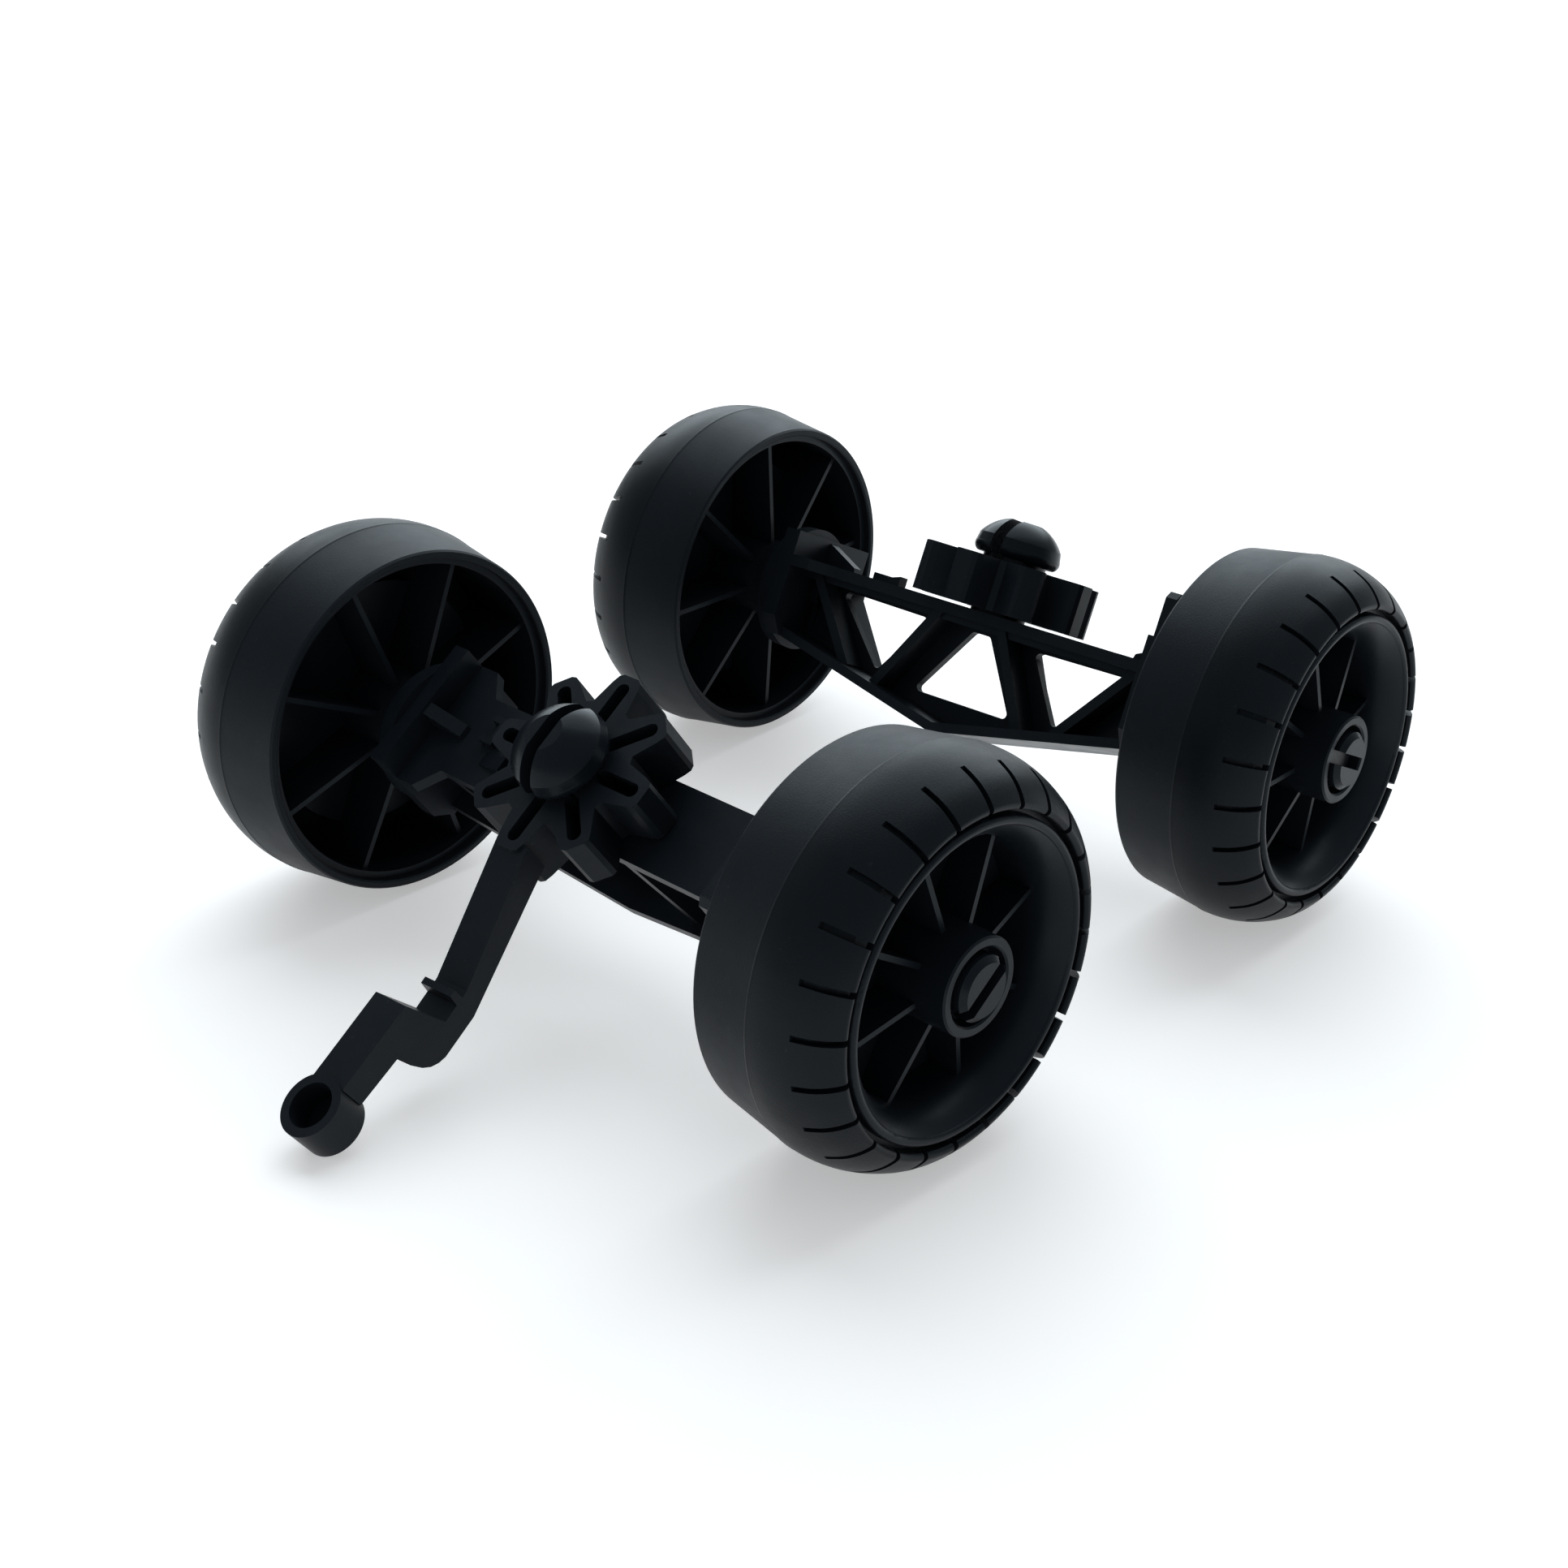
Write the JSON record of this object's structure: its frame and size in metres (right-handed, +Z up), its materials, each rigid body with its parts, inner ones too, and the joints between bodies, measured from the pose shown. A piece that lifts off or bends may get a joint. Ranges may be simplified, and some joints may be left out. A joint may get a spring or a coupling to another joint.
{
  "type": "four wheel robot chassis",
  "caption": "Toy robot chassis kit of axle units: ribbed cup wheels on split-headed stub pins, trussed beams, star collars on split snap knobs and a stepped tow arm with an eye.",
  "frame": {"origin": "on the floor, under the middle of the overall outline", "axes": "+X from the front axle unit to the rear axle unit, +Y to the left wheels, +Z up"},
  "size_m": [0.2062, 0.1632, 0.0662],
  "materials": {
    "frame": "satin black",
    "tyre": "fine matte black",
    "rim": "satin gloss black",
    "pin": "satin gloss black"
  },
  "bodies": {
    "front_chassis": {"front_beam": "frame", "front_snap_knob": "pin", "front_left_stub_pin": "pin", "front_right_stub_pin": "pin"},
    "rear_chassis": {"rear_beam": "frame", "rear_snap_knob": "pin", "rear_left_stub_pin": "pin", "rear_right_stub_pin": "pin"},
    "tow_coupling": {"front_star_collar": "frame", "tow_arm": "frame"},
    "rear_coupling": {"rear_star_collar": "frame"},
    "front_left_wheel": {"front_left_tyre": "tyre", "front_left_rim": "rim"},
    "front_right_wheel": {"front_right_tyre": "tyre", "front_right_rim": "rim"},
    "rear_left_wheel": {"rear_left_tyre": "tyre", "rear_left_rim": "rim"},
    "rear_right_wheel": {"rear_right_tyre": "tyre", "rear_right_rim": "rim"}
  },
  "joints": [
    {"name": "unit_spacing", "type": "slide", "parent": "front_chassis", "child": "rear_chassis", "axis": [1, 0, 0], "range_m": [0, 0.12]},
    {"name": "tow_arm_swing", "type": "hinge", "parent": "front_chassis", "child": "tow_coupling", "pos_m": [-0.04105, -0.00303, 0.04267], "axis": [-0.6, 0, 0.8], "range_deg": [-28, 34]},
    {"name": "rear_collar_turn", "type": "hinge", "parent": "rear_chassis", "child": "rear_coupling", "pos_m": [0.0711, 0.00117, 0.04386], "axis": [0.4374, 0.0291, 0.8988], "continuous": true},
    {"name": "front_left_wheel_spin", "type": "hinge", "parent": "front_chassis", "child": "front_left_wheel", "pos_m": [-0.03385, 0.05757, 0.03307], "axis": [0, 1, 0], "continuous": true},
    {"name": "front_right_wheel_spin", "type": "hinge", "parent": "front_chassis", "child": "front_right_wheel", "pos_m": [-0.03385, -0.06243, 0.03307], "axis": [0, 1, 0], "continuous": true},
    {"name": "rear_left_wheel_spin", "type": "hinge", "parent": "rear_chassis", "child": "rear_left_wheel", "pos_m": [0.06177, 0.06219, 0.03307], "axis": [-0.0663, 0.9978, 0], "continuous": true},
    {"name": "rear_right_wheel_spin", "type": "hinge", "parent": "rear_chassis", "child": "rear_right_wheel", "pos_m": [0.06973, -0.05755, 0.03307], "axis": [-0.0663, 0.9978, 0], "continuous": true}
  ]
}
